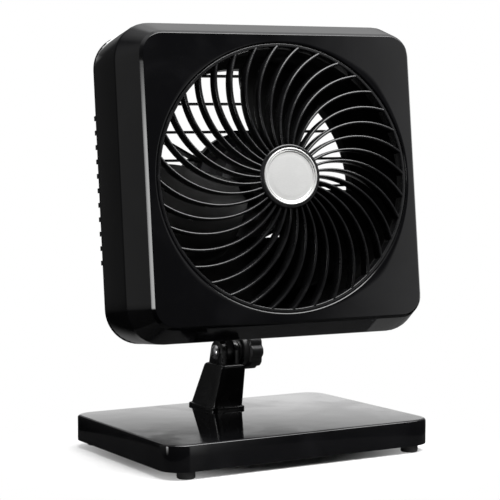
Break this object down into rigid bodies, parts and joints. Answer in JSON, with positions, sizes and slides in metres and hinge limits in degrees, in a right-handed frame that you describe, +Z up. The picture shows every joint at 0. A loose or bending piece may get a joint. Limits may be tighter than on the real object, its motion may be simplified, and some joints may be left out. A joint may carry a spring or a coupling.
{
  "type": "box fan",
  "caption": "Square-housed desk fan with a spiral-vane front grille, on a tilting and swivelling neck with a clamp knob and a flat rectangular base.",
  "frame": {"origin": "centre of the plane on which the four feet stand", "axes": "+Z up; the fan blows towards -Y; +X is the right-hand side seen from the front, along the long side of the base"},
  "size_m": [0.3527, 0.2783, 0.4652],
  "materials": {
    "gloss_shell": "high gloss black ABS",
    "satin_black": "satin black moulded plastic",
    "grille_black": "semi-gloss black moulded plastic",
    "knob_grey": "satin dark grey moulded plastic",
    "badge_silver": "finely brushed, clear lacquered",
    "bright_chrome": "polished",
    "zinc_steel": "zinc plated",
    "foot_rubber": "matt",
    "brass": "turned",
    "white_nylon": "natural nylon",
    "ballast_iron": "raw casting",
    "motor_alloy": "die cast",
    "lamination": "stacked laminations",
    "coil_copper": "varnished winding wire",
    "pointer_white": "pad printed"
  },
  "bodies": {
    "base": {"base_cover": "gloss_shell", "base_bottom_plate": "satin_black", "base_feet": "foot_rubber", "base_screws": "zinc_steel", "base_ballast": "ballast_iron", "neck_backing_plate": "zinc_steel", "neck_screws": "zinc_steel", "neck_column": "satin_black", "clamp_bolt": "bright_chrome", "clamp_washer": "zinc_steel"},
    "clamp": {"clamp_knob": "knob_grey", "knob_insert": "brass"},
    "arm": {"tilt_arm": "satin_black", "tilt_washers": "white_nylon", "swivel_bush": "white_nylon"},
    "head": {"front_frame": "gloss_shell", "air_shroud": "satin_black", "front_grille": "grille_black", "badge_bezel": "grille_black", "hub_badge": "badge_silver", "rear_cover": "satin_black", "housing_screws": "zinc_steel", "motor_screws": "zinc_steel", "motor_front_shell": "motor_alloy", "motor_rear_shell": "motor_alloy", "stator_core": "lamination", "stator_coils": "coil_copper", "motor_bearings": "zinc_steel", "motor_pod": "satin_black", "swivel_pin": "zinc_steel", "capacitor": "white_nylon", "selector_switch": "satin_black", "cord_inlet": "satin_black"},
    "fan": {"fan_blades": "grille_black", "fan_nut": "satin_black", "motor_shaft": "zinc_steel", "rotor_core": "lamination"},
    "selector": {"speed_knob": "knob_grey", "knob_pointer": "pointer_white"}
  },
  "joints": [
    {"name": "head_tilt", "type": "hinge", "parent": "base", "child": "arm", "pos_m": [0, 0.057, 0.102], "axis": [-1, 0, 0], "range_deg": [-20, 34]},
    {"name": "head_swivel", "type": "hinge", "parent": "arm", "child": "head", "pos_m": [0, 0.057, 0.102], "axis": [0, 0.0993, 0.9951], "range_deg": [-31, 49]},
    {"name": "fan_spin", "type": "hinge", "parent": "head", "child": "fan", "pos_m": [-0.02292, -0.07139, 0.29802], "axis": [0.1538, 0.9832, -0.0981], "continuous": true},
    {"name": "clamp_turn", "type": "hinge", "parent": "base", "child": "clamp", "pos_m": [0.026, 0.057, 0.102], "axis": [1, 0, 0], "range_deg": [0, 360]},
    {"name": "speed_select", "type": "hinge", "parent": "head", "child": "selector", "pos_m": [0.00354, 0.09901, 0.29408], "axis": [0.1538, 0.9832, -0.0981], "range_deg": [0, 135]}
  ]
}
